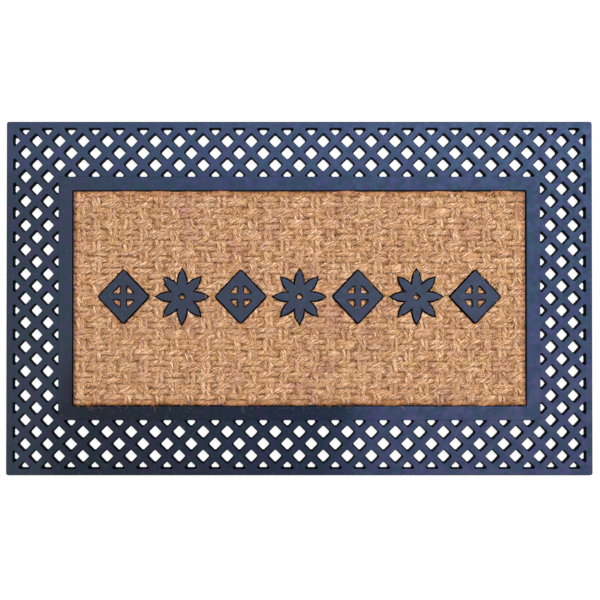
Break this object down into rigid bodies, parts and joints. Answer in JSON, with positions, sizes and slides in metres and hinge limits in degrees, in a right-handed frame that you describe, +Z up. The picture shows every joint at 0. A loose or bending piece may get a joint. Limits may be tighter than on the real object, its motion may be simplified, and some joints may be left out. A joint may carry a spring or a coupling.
{
  "type": "door mat",
  "caption": "Rectangular door mat: a rubber border moulded as a diamond lattice with a solid frame round a woven coir panel that carries a row of raised rubber motifs.",
  "frame": {"origin": "on the floor under the middle of the mat", "axes": "+X along the mat's long edge, +Y from the front edge to the back edge, +Z up out of the walked-on face"},
  "size_m": [0.762, 0.46, 0.0116],
  "materials": {
    "border_rubber": "matt moulded rubber, blue-black with a faint bloom",
    "backing_rubber": "matt black rubber",
    "latex_bond": "dried latex adhesive",
    "coir": "coarse tan coconut-fibre yarn in a hairy basket weave",
    "motif_rubber": "matt moulded rubber"
  },
  "bodies": {
    "root": {"border_moulding": "border_rubber", "backing_sheet": "backing_rubber", "bond_layer": "latex_bond", "coir_panel": "coir", "motif_1_lozenge": "motif_rubber", "motif_2_rosette": "motif_rubber", "motif_3_lozenge": "motif_rubber", "motif_4_rosette": "motif_rubber", "motif_5_lozenge": "motif_rubber", "motif_6_rosette": "motif_rubber", "motif_7_lozenge": "motif_rubber"}
  },
  "joints": []
}
